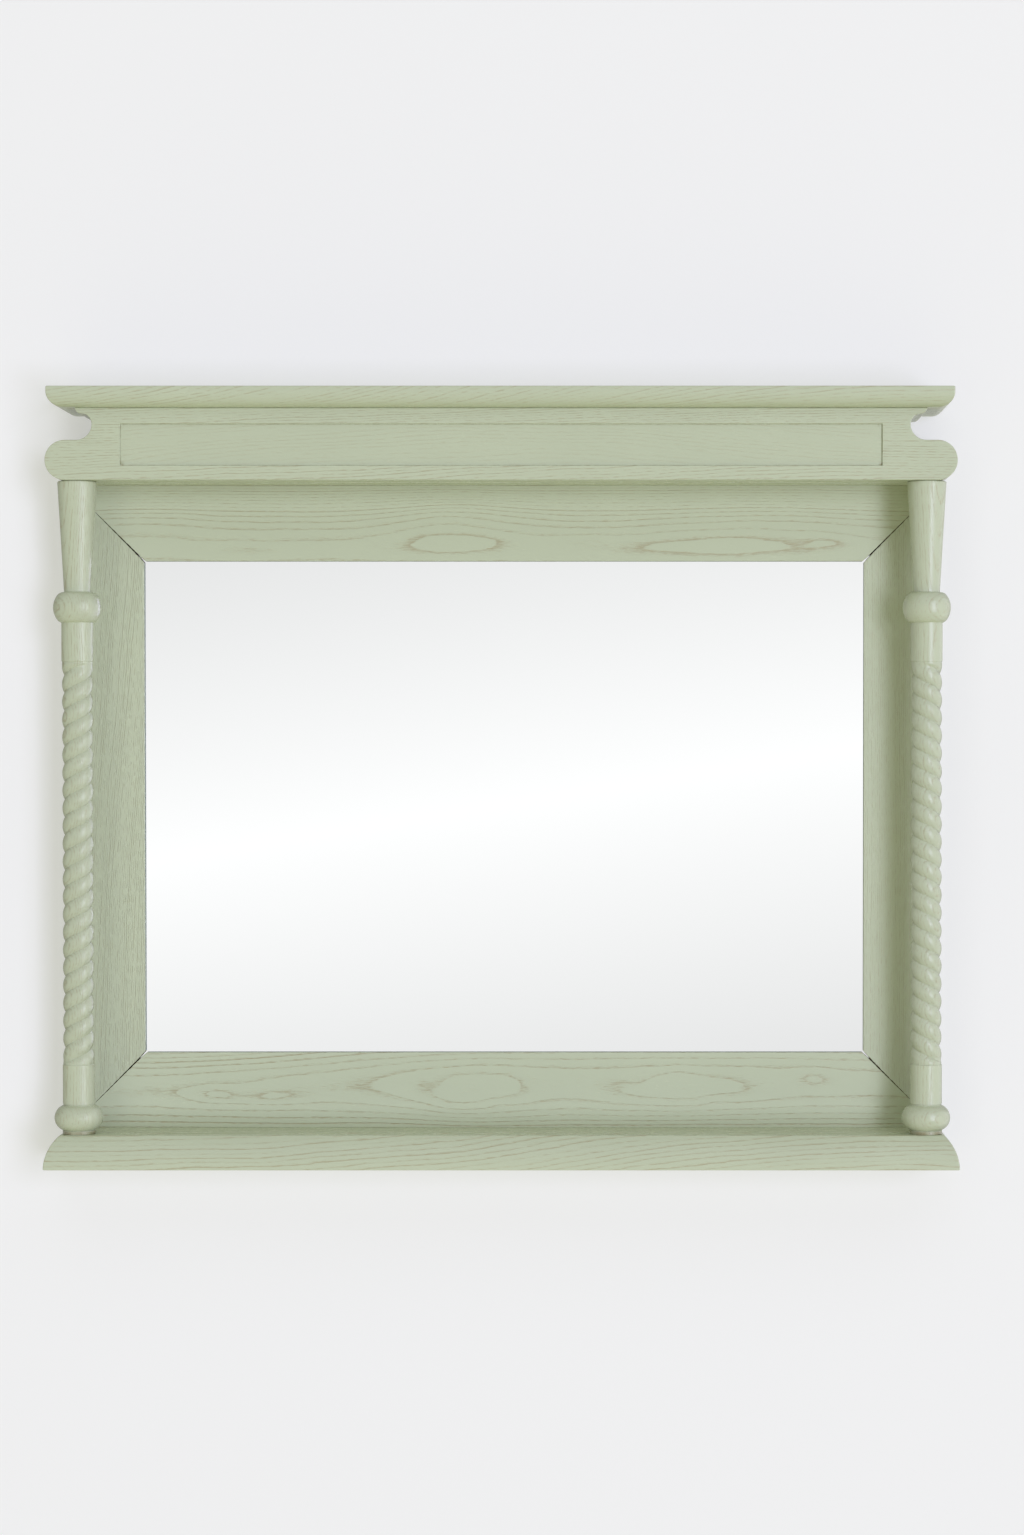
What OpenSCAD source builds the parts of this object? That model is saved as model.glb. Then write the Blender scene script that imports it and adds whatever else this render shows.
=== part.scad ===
// Overmantel mirror. A wide mitred frame holds the glass behind two rope-twist
// columns, which stand on a deep shelf and carry a shaped frieze and a cornice.
// Millimetres. +X runs to the right, -Y into the room and +Z up. The origin is
// under the middle of the whole, halfway from the cornice's front to the wall.

/* [Overall] */
// Height from the underside of the shelf to the top of the cornice
total_h = 912; // [880:1:960]
// Width of the shelf at its lower edge
shelf_w = 1070; // [1050:2:1200]
// Depth of the shelf from its front edge to the wall
shelf_d = 122; // [118:1:140]

/* [Shelf] */
// Thickness of the shelf
shelf_t = 39; // [34:1:45]
// Radius of the arc that rounds its front and end edges
shelf_edge_r = 53; // [46:1:60]

/* [Cornice] */
// Thickness of the cornice board
cornice_t = 23.3; // [22:0.1:27]
// How far the cornice's front stands beyond the shelf's front
cornice_over = 10; // [4:1:16]
// How far each end of the cornice stays inside the end of the shelf
cornice_in = 8; // [4:1:14]
// Radius of the quarter round under its front and end edges
ovolo_r = 17; // [12:0.5:20]
// Rounding of its top arris
cornice_arris_r = 1.5; // [0.5:0.5:3]

/* [Frieze] */
// Height of the frieze
frieze_h = 84; // [80:1:90]
// Thickness of the front board
frieze_t = 18; // [15:1:22]
// Setback of the front board's face behind the shelf's front
frieze_set = 12; // [8:1:16]
// How far the lobes stay inside the ends of the shelf
lobe_in = 3; // [1:1:8]
// Radius of the lobe at the foot of each end
lobe_r = 23.3; // [21:0.1:24]
// Radius of the hollow's lower arc
hollow_low_r = 18.3; // [16:0.1:19]
// Radius of the hollow's upper arc
hollow_top_r = 12.5; // [11:0.1:13]
// Radius of the small ear under the cornice
ear_r = 7; // [6:0.1:8]
// How far the hollow's deepest point stays inside the end of the shelf
hollow_in = 58; // [55:1:62]
// Distance from the sunk panel's ends to the ends of the shelf
panel_in = 91; // [88:1:110]
// Height of the sunk panel that shows
panel_h = 48.5; // [40:0.5:52]
// Height of the panel's lower edge above the frieze's lower edge
panel_lift = 16.8; // [14:0.2:20]
// How deep the panel is sunk behind the board's face
panel_sink = 3; // [2:0.5:5]

/* [Frame] */
// How far the frame's outer edges stay inside the ends of the shelf
frame_in = 16.5; // [14:0.5:20]
// Width of the four frame boards
frame_board = 90; // [86:1:92]
// Thickness of the frame boards
frame_t = 22; // [21:1:24]
// Thickness of the lip in front of the glass
lip_t = 6; // [5:0.5:7]
// Width of the rabbet behind the lip
rabbet_w = 8; // [7:0.5:10]
// Opening of the mitres at their inner corners, where the boards have shrunk
mitre_gap = 1.8; // [0.2:0.1:2.4]

/* [Mirror] */
// Thickness of the glass
glass_t = 4; // [3:0.5:5]
// Thickness of the board behind the glass
backing_t = 6; // [4:0.5:7]

/* [Columns] */
// Distance of the column axes from the ends of the shelf
column_in = 37; // [35:0.5:42]
// Distance of the column axes behind the shelf's front
column_set = 36.5; // [34:0.5:40]
// Radius of the collars
collar_r = 18.7; // [17:0.1:20]
// Radius of the rope over its ridges
rope_ridge_r = 18.2; // [17:0.1:18.4]
// Radius of the rope in its valleys
rope_valley_r = 15.5; // [14:0.1:16.5]
// Height of the rope in which one strand goes once round
rope_lead = 41.6; // [36:0.1:50]
// How far below the top of the left rope a valley crosses its front
rope_drop_left = 27; // [15:0.2:35]
// How far below the top of the right rope a valley crosses its front
rope_drop_right = 24.6; // [15:0.2:35]

/* [Hidden] */
$fn = 96;
over = 1;      // cuts run this far past the faces they open
seat = 0.02;   // arcs bulge this far past the straight edges that they run into

// Levels and planes
wall_y = (shelf_d + cornice_over) / 2;
shelf_front_y = wall_y - shelf_d;
cornice_front_y = shelf_front_y - cornice_over;
cornice_z = total_h - cornice_t;
frieze_z = cornice_z - frieze_h;

// Frieze box
cornice_w = shelf_w - 2 * cornice_in;
frieze_front_y = shelf_front_y + frieze_set;
frieze_back_y = frieze_front_y + frieze_t;
lobe_x = shelf_w / 2 - lobe_in - lobe_r;
hollow_x = shelf_w / 2 - hollow_in;
hollow_z = 2 * lobe_r + hollow_low_r;
ear_z = hollow_z + hollow_top_r + ear_r;
panel_w = shelf_w - 2 * panel_in;
panel_lap = 5;
block_in = 85;   // distance of the end blocks' inner faces from the ends of the shelf
block_x = shelf_w / 2 - block_in;
soffit_t = 12;
back_rail_t = 12;
glue_leg = 20;
glue_len = 70;

// Frame and glass
frame_y = wall_y - frame_t;
frame_x = shelf_w / 2 - frame_in;
sight_x = frame_x - frame_board;
sight_low = shelf_t + frame_board;
sight_top = frieze_z - frame_board;
mitre_cut = mitre_gap / sqrt(2);
glass_y = frame_y + lip_t;
backing_y = glass_y + glass_t;
glass_play = 1;
biscuit_len = 56;
biscuit_w = 23;
biscuit_t = 4;
biscuit_y = wall_y - frame_t / 2;
point_len = 16;
point_w = 10;
point_t = 1;

// Even places of the screws, glue blocks and retaining points along the width
station = shelf_w / 10;
stations = [-3 * station, -station, station, 3 * station];

// Hanging plates, let in flush with the backs of the stiles
hanger_x = frame_x - frame_board / 2;
hanger_drop = 30;
hanger_z = sight_top - hanger_drop;
hanger_w = 18;
hanger_h = 52;
hanger_t = 2;
key_r = 5;
key_slot_r = 2.5;
key_rise = 12;
key_drop = 5;
key_pocket = 8;    // depth of the hollow behind the plate
key_room = 1;      // how much wider that hollow is than the keyhole
hanger_screw_in = 6;
hanger_screw_z = hanger_h / 2 - hanger_screw_in;

// Screws: shank radius, head radius and length
shelf_screw = [2.2, 4.4, 70];
frame_screw = [2, 4, 40];
hanger_screw = [1.5, 3, 16];
screw_tip_r = 0.3;
head_room = 1;   // between the heads of the frame screws and the back rail

// Columns, with heights above the shelf
column_x = shelf_w / 2 - column_in;
column_y = shelf_front_y + column_set;
column_h = frieze_z - shelf_t;
foot_r = 19;
foot_h = 3.5;
bun_r = 28.5;
bun_h = 31.4;
low_collar_h = 47.2;
top_collar_h = 45.6;
bead_r = 28.25;
bead_h = 36.2;
bead_side_r = 24;
bead_turn_r = 9;
taper_h = 129.7;
taper_low_r = 15.4;
taper_top_r = 22.85;
taper_arris_r = 2;
groove = 0.8;
dowel_r = 6;
dowel_in_column = 25;
dowel_in_board = 22;

rope_low = foot_h + bun_h + low_collar_h;
bead_low = column_h - taper_h - bead_h;
rope_top = bead_low - top_collar_h;
rope_h = rope_top - rope_low;
rope_starts = 2;
rope_sides = 16;
rope_fade = 9;   // height over which the carving runs out at each end
rope_sink = 2;   // how far the rope runs into each collar
rope_steps = round(16 * rope_h / rope_lead);

paint = [0.722, 0.757, 0.651];
bare_wood = [0.83, 0.73, 0.56];
steel = [0.62, 0.63, 0.65];
board_brown = [0.55, 0.43, 0.31];
silvering = [0.86, 0.90, 0.90];

// ---- Shapes that several pieces share -------------------------------------

// Carries a drawing of X and Z back from the plane y0 to the plane y1
module between(y0, y1) {
    translate([0, y1, 0]) rotate([90, 0, 0]) linear_extrude(y1 - y0) children();
}

// Draws the children and their mirror image on the other side of the middle
module both_sides() {
    children();
    mirror([1, 0, 0]) children();
}

// A board whose front edge and both ends carry one moulding, mitred at the
// corners. The child draws the moulding from its outer edge at x = 0.
module moulded_board(w, front_y) {
    intersection() {
        translate([-w / 2, 0, 0]) rotate([90, 0, 90]) linear_extrude(w)
            translate([front_y, 0]) intersection() {
                children();
                translate([0, -over]) square([wall_y - front_y, shelf_w]);
            }
        between(front_y, wall_y) both_sides() translate([-w / 2, 0]) intersection() {
            children();
            translate([0, -over]) square([w / 2 + over, shelf_w]);
        }
    }
}

// A countersunk screw that points down, with the top of its head at z = 0
module screw(size) {
    r = size[0];
    head_r = size[1];
    len = size[2];
    head_h = head_r - r;
    tip_h = 2 * r;
    translate([0, 0, -head_h]) cylinder(h = head_h, r1 = r, r2 = head_r);
    translate([0, 0, tip_h - len]) cylinder(h = len - tip_h - head_h, r = r);
    translate([0, 0, -len]) cylinder(h = tip_h, r1 = screw_tip_r, r2 = r);
}

// ---- Shelf ----------------------------------------------------------------

module shelf_moulding() {
    intersection() {
        square([shelf_w, shelf_t]);
        union() {
            translate([shelf_edge_r, 0]) circle(r = shelf_edge_r);
            translate([shelf_edge_r, 0]) square([shelf_w, shelf_t]);
        }
    }
}

module shelf() {
    color(paint) difference() {
        moulded_board(shelf_w, shelf_front_y) shelf_moulding();
        dowels(shelf_t);
        screws_into_shelf();
    }
}

module screws_into_shelf() {
    for (x = stations) translate([x, biscuit_y, 0]) rotate([180, 0, 0]) screw(shelf_screw);
}

module shelf_screws() {
    color(steel) screws_into_shelf();
}

// ---- Cornice --------------------------------------------------------------

module cornice_moulding() {
    difference() {
        square([shelf_w, cornice_t]);
        difference() {
            translate([-over, -over]) square(ovolo_r + over);
            translate([ovolo_r, ovolo_r]) circle(r = ovolo_r + seat);
        }
        translate([0, cornice_t - cornice_arris_r]) difference() {
            translate([-over, 0]) square(cornice_arris_r + over);
            translate([cornice_arris_r, 0]) circle(r = cornice_arris_r + seat);
        }
    }
}

module cornice() {
    color(paint) translate([0, 0, cornice_z]) moulded_board(cornice_w, cornice_front_y)
        cornice_moulding();
}

// ---- Frieze ---------------------------------------------------------------

// What is cut from the right end: a hollow of two arcs between lobe and ear
module end_hollow() {
    low = [hollow_x + hollow_low_r, hollow_z];
    top = [hollow_x + hollow_top_r, hollow_z];
    ear = [hollow_x + hollow_top_r, ear_z];
    reach = 2 * lobe_r + hollow_in;
    intersection() {
        translate(low) circle(r = hollow_low_r);
        translate([hollow_x - over, 0]) square([reach, hollow_z]);
    }
    translate([low[0], 2 * lobe_r]) square([reach, hollow_low_r]);
    intersection() {
        translate(top) circle(r = hollow_top_r);
        translate([hollow_x - over, hollow_z]) square([reach, frieze_h]);
    }
    translate(top) square([reach, hollow_top_r]);
    difference() {
        translate([top[0], ear_z - ear_r - over]) square([reach, frieze_h]);
        translate(ear) circle(r = ear_r);
    }
}

// The front outline of the frieze, standing on z = 0
module frieze_outline() {
    difference() {
        intersection() {
            translate([-shelf_w / 2, 0]) square([shelf_w, frieze_h]);
            union() {
                translate([-lobe_x, -over]) square([2 * lobe_x, frieze_h + 2 * over]);
                both_sides() translate([lobe_x, lobe_r]) circle(r = lobe_r + seat);
            }
        }
        both_sides() end_hollow();
    }
}

module panel_opening(lap) {
    translate([-panel_w / 2 - lap, panel_lift - lap]) square([panel_w + 2 * lap, panel_h + 2 * lap]);
}

module frieze_board() {
    color(paint) translate([0, 0, frieze_z]) difference() {
        between(frieze_front_y, frieze_back_y) frieze_outline();
        between(frieze_front_y - over, frieze_back_y + over) panel_opening(0);
        between(frieze_front_y + panel_sink, frieze_back_y + over) panel_opening(panel_lap);
    }
}

// The panel fills a rabbet behind the board's opening and is flush at its back
module frieze_panel() {
    color(paint) translate([0, 0, frieze_z])
        between(frieze_front_y + panel_sink, frieze_back_y) panel_opening(panel_lap);
}

module frieze_end() {
    color(paint) difference() {
        translate([0, 0, frieze_z]) between(frieze_back_y, wall_y) intersection() {
            frieze_outline();
            translate([block_x, 0]) square([shelf_w, frieze_h]);
        }
        dowels(frieze_z);
    }
}

module frieze_end_right() { frieze_end(); }

module frieze_end_left() { mirror([1, 0, 0]) frieze_end(); }

module frieze_soffit() {
    color(paint) difference() {
        translate([-block_x, frieze_back_y, frieze_z])
            cube([2 * block_x, wall_y - frieze_back_y, soffit_t]);
        screws_into_frame();
    }
}

module frieze_back_rail() {
    color(bare_wood) translate([-block_x, wall_y - back_rail_t, frieze_z + soffit_t])
        cube([2 * block_x, back_rail_t, frieze_h - soffit_t]);
}

// A three-cornered block along X, whose square corner is at the origin
module glue_block() {
    translate([-glue_len / 2, 0, 0]) rotate([90, 0, 90]) linear_extrude(glue_len)
        polygon([[0, 0], [glue_leg, 0], [0, glue_leg]]);
}

module glue_blocks() {
    color(bare_wood) for (x = stations) {
        translate([x, frieze_back_y, frieze_z + soffit_t]) glue_block();
        translate([x, frieze_back_y, cornice_z]) mirror([0, 0, 1]) glue_block();
        translate([x, wall_y - back_rail_t, cornice_z]) rotate([180, 0, 0]) glue_block();
    }
}

// ---- Columns --------------------------------------------------------------

// Points along an arc of radius r about c, from one direction to another
function arc(c, r, from, to, steps = 16) =
    [for (i = [0:steps]) let (a = from + (to - from) * i / steps) c + r * [cos(a), sin(a)]];

// Half section of the bun, a disc with a full round edge
module bun_section() {
    edge_r = bun_h / 2;
    polygon([[0, 0], each arc([bun_r - edge_r, edge_r], edge_r, -90, 90, 24), [0, bun_h]]);
}

// Half section of the bead: a flat arc down its side, between two tighter
// arcs that turn in to its flat ends. All three arcs meet on one tangent.
module bead_section() {
    side = [bead_r - bead_side_r, bead_h / 2];
    rise = bead_h / 2 - bead_turn_r;
    turn = asin(rise / (bead_side_r - bead_turn_r));
    run = side[0] + (bead_side_r - bead_turn_r) * cos(turn);
    polygon([[0, 0],
             each arc([run, bead_turn_r], bead_turn_r, -90, -turn),
             each arc(side, bead_side_r, -turn, turn),
             each arc([run, bead_h - bead_turn_r], bead_turn_r, turn, 90),
             [0, bead_h]]);
}

// Half section of the tapered shaft, which swells upwards to a rounded arris
module taper_section() {
    arris = [taper_top_r - taper_arris_r, taper_h - taper_arris_r];
    polygon([[0, 0], [taper_low_r, 0], each arc(arris, taper_arris_r, 0, 90, 6), [0, taper_h]]);
}

// A small groove scored round a shaft of radius r, centred on z = 0
module score(r) {
    translate([r, 0]) circle(r = groove, $fn = 24);
}

module dowel_hole_section() {
    square([dowel_r, dowel_in_column]);
}

// What the lathe turns below the rope
module lower_turning() {
    rotate_extrude() difference() {
        union() {
            square([foot_r, foot_h + over]);
            translate([0, foot_h]) bun_section();
            translate([0, foot_h + bun_h - over]) square([collar_r, low_collar_h + over]);
        }
        translate([0, foot_h + bun_h]) score(collar_r);
        translate([0, rope_low]) score(collar_r);
        translate([0, -over]) dowel_hole_section();
        dowel_hole_section();
    }
}

// What the lathe turns above the rope
module upper_turning() {
    rotate_extrude() difference() {
        union() {
            translate([0, rope_top]) square([collar_r, top_collar_h + over]);
            translate([0, bead_low]) bead_section();
            translate([0, bead_low + bead_h - over]) square([taper_low_r, 2 * over]);
            translate([0, column_h - taper_h]) taper_section();
        }
        translate([0, rope_top]) score(collar_r);
        translate([0, column_h - dowel_in_column + over]) dowel_hole_section();
        translate([0, column_h - dowel_in_column]) dowel_hole_section();
    }
}

// Radius of the rope: each strand is a low arch between two sharp valleys
function rope_r(side) =
    let (per_strand = rope_sides / rope_starts,
         across = 2 * (side % per_strand) / per_strand - 1)
    rope_valley_r + (rope_ridge_r - rope_valley_r) * (1 - across * across);

// How fully the rope is carved at a height: 0 at its ends, 1 past the run-out
function carved(z) =
    let (t = min(1, max(0, min(z, rope_h - z) / rope_fade)))
    t * t * (3 - 2 * t);

function rope_point(side, z, drop) =
    let (a = 270 + 360 * side / rope_sides + 360 * (z - rope_h + drop) / rope_lead,
         r = rope_ridge_r + (rope_r(side) - rope_ridge_r) * carved(z))
    [r * cos(a), r * sin(a), rope_low + z];

// The carved part, as rings that turn with the strands. Its ends run a little
// way into the collars, so that one turned solid holds the whole column.
module rope(drop) {
    heights = [-rope_sink, each [for (i = [0:rope_steps]) i * rope_h / rope_steps], rope_h + rope_sink];
    last = len(heights) - 1;
    points = [for (z = heights, side = [0:rope_sides - 1]) rope_point(side, z, drop)];
    next = [for (side = [0:rope_sides - 1]) (side + 1) % rope_sides];
    polyhedron(points, [
        [for (side = [0:rope_sides - 1]) side],
        [for (side = [0:rope_sides - 1]) (last + 1) * rope_sides - 1 - side],
        each [for (ring = [0:last - 1], side = [0:rope_sides - 1])
            let (here = ring * rope_sides, above = here + rope_sides)
            each [[here + side, above + side, here + next[side]],
                  [above + side, above + next[side], here + next[side]]]]
    ]);
}

// A column at the left, whose strands climb to the right
module column(drop) {
    color(paint) translate([-column_x, column_y, shelf_t]) union() {
        lower_turning();
        rope(drop);
        upper_turning();
    }
}

module column_left() { column(rope_drop_left); }

module column_right() { mirror([1, 0, 0]) column(rope_drop_right); }

// The dowels that join both columns to the boards at a level
module dowels(z) {
    below = z > shelf_t ? dowel_in_column : dowel_in_board;
    both_sides() translate([column_x, column_y, z - below])
        cylinder(h = dowel_in_column + dowel_in_board, r = dowel_r);
}

module column_dowels_top() { color(bare_wood) dowels(frieze_z); }

module column_dowels_bottom() { color(bare_wood) dowels(shelf_t); }

// ---- Frame ----------------------------------------------------------------

// The space behind the lip that takes the glass and its backing
module rabbet(play) {
    x = sight_x + rabbet_w - play;
    translate([-x, sight_low - rabbet_w + play])
        square([2 * x, sight_top - sight_low + 2 * (rabbet_w - play)]);
}

// Cuts from a frame board what it shares with the glass and the fittings
module frame_piece() {
    color(paint) difference() {
        between(frame_y, wall_y) children();
        between(glass_y, wall_y + over) rabbet(0);
        biscuits();
        points();
    }
}

module top_rail_outline() {
    polygon([[-frame_x, frieze_z], [frame_x, frieze_z],
             [sight_x - mitre_cut, sight_top], [mitre_cut - sight_x, sight_top]]);
}

module bottom_rail_outline() {
    polygon([[-frame_x, shelf_t], [frame_x, shelf_t],
             [sight_x - mitre_cut, sight_low], [mitre_cut - sight_x, sight_low]]);
}

module stile_outline() {
    polygon([[frame_x, shelf_t], [frame_x, frieze_z],
             [sight_x, sight_top - mitre_cut], [sight_x, sight_low + mitre_cut]]);
}

module frame_top_rail() {
    difference() {
        frame_piece() top_rail_outline();
        screws_into_frame();
    }
}

module frame_bottom_rail() {
    difference() {
        frame_piece() bottom_rail_outline();
        screws_into_shelf();
    }
}

module stile() {
    difference() {
        frame_piece() stile_outline();
        hanger_recess();
    }
}

module frame_right_stile() { stile(); }

module frame_left_stile() { mirror([1, 0, 0]) stile(); }

// Lens-shaped biscuits, let half into each board across the four mitres
module biscuits() {
    arc_r = (pow(biscuit_len, 2) / 4 + pow(biscuit_w, 2) / 4) / biscuit_w;
    both_sides() for (end = [[sight_top, 1], [sight_low, -1]])
        translate([hanger_x, 0, end[0] + end[1] * frame_board / 2])
            between(biscuit_y - biscuit_t / 2, biscuit_y + biscuit_t / 2)
                rotate(45 * end[1]) intersection() {
                    translate([0, arc_r - biscuit_w / 2]) circle(r = arc_r);
                    translate([0, biscuit_w / 2 - arc_r]) circle(r = arc_r);
                }
}

module mitre_biscuits() { color(bare_wood) biscuits(); }

module screws_into_frame() {
    y = wall_y - back_rail_t - frame_screw[1] - head_room;
    for (x = stations) translate([x, y, frieze_z + soffit_t]) screw(frame_screw);
}

module frame_screws() { color(steel) screws_into_frame(); }

// ---- Glass and backing ----------------------------------------------------

module mirror_glass() {
    color(silvering) between(glass_y, backing_y) rabbet(glass_play);
}

module backing_board() {
    color(board_brown) between(backing_y, backing_y + backing_t) rabbet(glass_play);
}

// Flat steel points driven into the rabbet's walls, over the backing board
module points() {
    middle = (sight_low + sight_top) / 2;
    side_step = (sight_top - sight_low) / 3;
    between(backing_y + backing_t, backing_y + backing_t + point_t) {
        for (x = stations, z = [sight_low - rabbet_w, sight_top + rabbet_w])
            translate([x, z]) square([point_w, point_len], center = true);
        both_sides() for (z = [middle - side_step, middle, middle + side_step])
            translate([sight_x + rabbet_w, z]) square([point_len, point_w], center = true);
    }
}

module retaining_points() { color(steel) points(); }

// ---- Hanging plates -------------------------------------------------------

module hanger_outline() {
    straight = hanger_h - hanger_w;
    square([hanger_w, straight], center = true);
    for (z = [-straight / 2, straight / 2]) translate([0, z]) circle(r = hanger_w / 2);
}

// The keyhole: a head passes the round hole and its neck rises in the slot
module keyhole() {
    translate([0, -key_drop]) circle(r = key_r);
    translate([-key_slot_r, -key_drop]) square([2 * key_slot_r, key_rise]);
    translate([0, key_rise - key_drop]) circle(r = key_slot_r);
}

module hanger_recess() {
    pocket_r = key_r + key_room;
    translate([hanger_x, 0, hanger_z]) {
        between(wall_y - hanger_t, wall_y + over) hanger_outline();
        between(wall_y - hanger_t - key_pocket, wall_y) {
            translate([-pocket_r, -key_drop]) square([2 * pocket_r, key_rise]);
            for (z = [-key_drop, key_rise - key_drop]) translate([0, z]) circle(r = pocket_r);
        }
    }
    screws_into_hanger();
}

module screws_into_hanger() {
    for (z = [-hanger_screw_z, hanger_screw_z])
        translate([hanger_x, wall_y, hanger_z + z]) rotate([-90, 0, 0]) screw(hanger_screw);
}

module hanger() {
    color(steel) difference() {
        translate([hanger_x, 0, hanger_z]) difference() {
            between(wall_y - hanger_t, wall_y) hanger_outline();
            between(wall_y - hanger_t - over, wall_y + over) keyhole();
        }
        screws_into_hanger();
    }
}

module hanger_right() { hanger(); }

module hanger_left() { mirror([1, 0, 0]) hanger(); }

module hanger_screws() { color(steel) both_sides() screws_into_hanger(); }

shelf();
cornice();
frieze_board();
frieze_panel();
frieze_end_left();
frieze_end_right();
frieze_soffit();
frieze_back_rail();
glue_blocks();
column_left();
column_right();
column_dowels_top();
column_dowels_bottom();
frame_top_rail();
frame_bottom_rail();
frame_left_stile();
frame_right_stile();
mitre_biscuits();
mirror_glass();
backing_board();
retaining_points();
hanger_left();
hanger_right();
hanger_screws();
shelf_screws();
frame_screws();
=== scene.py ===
# %% [markdown]
# # An overmantel mirror in painted ash
#
# The object is a wide mirror in a mitred frame. Two turned columns with a rope twist stand in front
# of the frame on a deep shelf, and carry a shaped frieze and a cornice. All the wood that shows is
# ash, painted in a sage green satin that lets the open grain come through.
#
# The construction already exists as solids, in metres, with +X to the right, +Y towards the wall and
# +Z up. This lesson dresses them: it makes the moulded, shaped, turned and mitred pieces again with
# soft arrises, gives every piece a finish, and lights the whole like a photograph in a bright room.

import bmesh
import bpy
import numpy as np
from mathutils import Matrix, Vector
from mathutils.geometry import tessellate_polygon


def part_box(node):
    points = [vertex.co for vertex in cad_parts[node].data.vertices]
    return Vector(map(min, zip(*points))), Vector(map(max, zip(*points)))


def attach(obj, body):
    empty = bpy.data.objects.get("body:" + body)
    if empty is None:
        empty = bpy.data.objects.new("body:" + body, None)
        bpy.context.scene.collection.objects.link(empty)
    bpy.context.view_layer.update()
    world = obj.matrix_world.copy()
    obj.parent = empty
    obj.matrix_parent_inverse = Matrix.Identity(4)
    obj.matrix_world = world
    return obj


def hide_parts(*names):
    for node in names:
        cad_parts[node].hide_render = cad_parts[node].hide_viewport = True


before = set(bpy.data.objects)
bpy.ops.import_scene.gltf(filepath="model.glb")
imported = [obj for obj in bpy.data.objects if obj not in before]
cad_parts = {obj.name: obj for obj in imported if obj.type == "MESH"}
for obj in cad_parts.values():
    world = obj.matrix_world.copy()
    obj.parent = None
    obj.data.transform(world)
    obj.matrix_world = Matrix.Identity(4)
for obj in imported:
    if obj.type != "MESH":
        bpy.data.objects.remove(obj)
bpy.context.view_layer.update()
MM = 0.001

# %% [markdown]
# ## Where things are
#
# A size that the frame already knows is read from it, so that a board always meets its neighbours.
# Only what a box can't tell, such as the radius of a moulding, is written here as a number, in
# millimetres, and turned into metres where it is used.

# %% Levels and planes, read from the frame


def span(node):
    """The lowest and the highest corner of a solid, as two arrays of X, Y and Z."""
    low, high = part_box(node)
    return np.array(low), np.array(high)


shelf_low, shelf_high = span("shelf")
cornice_low, cornice_high = span("cornice")
board_low, board_high = span("frieze_board")
panel_low, panel_high = span("frieze_panel")
rail_low, rail_high = span("frame_top_rail")

wall_y = shelf_high[1]
shelf_top = shelf_high[2]
frieze_z = board_low[2]
frame_x = rail_high[0]
frame_y = rail_low[1]
board_width = rail_high[2] - rail_low[2]
frame_w = 2 * frame_x
frame_h = frieze_z - shelf_top
print("frame in mm:", round(frame_w / MM, 2), "by", round(frame_h / MM, 2))

# %% [markdown]
# ## Turning arrays into pieces
#
# Nearly every new piece is a stack of rings: closed outlines with the same number of points, each a
# little further along the piece. One grid of four-sided faces joins each ring to the next, and a
# flat face closes each end. Boxes with a Bevel modifier could make the plain boards, but neither
# mouldings nor ropes. Formulas on whole arrays make them all, and no loop visits single vertices.
#
# Flat faces beside small roundings pick up false shading, because a corner's normal is shared. A
# Weighted Normal modifier gives the big faces the say, which keeps them flat.

# %% Arcs and rings


def arc(centre, radius, start, stop, steps):
    """Points on an arc: the centre plus radius times (cos a, sin a), a running in degrees.

    steps is how many points there are, both ends included."""
    a = np.radians(np.linspace(start, stop, steps))
    return np.stack([centre[0] + radius * np.cos(a), centre[1] + radius * np.sin(a)], axis=1)


def ring_faces(levels, count):
    """The quads between neighbouring rings of count points, as rows of four indices."""
    level = np.arange(levels - 1)[:, None] * count
    place = np.arange(count)[None, :]
    after = (place + 1) % count
    return np.stack([level + place, level + after, level + count + after, level + count + place],
                    axis=-1).reshape(-1, 4)


print("a quarter circle in three points:", arc((0, 0), 1, 0, 90, 3).round(3).tolist())
print("faces between two rings of four points:", ring_faces(2, 4).tolist())

# %% Outlines moved inwards


def inset(outline, distance):
    """Moves a closed outline, drawn anticlockwise, inwards by the same distance everywhere.

    At each point the two edges' inward normals n and m give the shift (n + m) / (1 + n.m)."""
    edge = np.roll(outline, -1, axis=0) - outline
    edge = edge / np.linalg.norm(edge, axis=1, keepdims=True)
    normal = np.stack([-edge[:, 1], edge[:, 0]], axis=1)
    before = np.roll(normal, 1, axis=0)
    shift = (normal + before) / (1 + np.sum(normal * before, axis=1, keepdims=True))
    return outline + distance * shift


def rounding(radius, steps=5):
    """A quarter turn as pairs (inset, depth), from the front face to the side of a board.

    Inset = radius * (1 - sin a) and depth = radius * (1 - cos a), a running up to 90 degrees."""
    a = np.linspace(0, np.pi / 2, steps)
    return np.stack([radius * (1 - np.sin(a)), radius * (1 - np.cos(a))], axis=1)


print("a rounding of 1 mm as insets and depths:", rounding(1.0).round(2).tolist())

# %% From rings to a piece

# Edges that turn by more than this stay crisp.
SHARP = np.radians(38)


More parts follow.
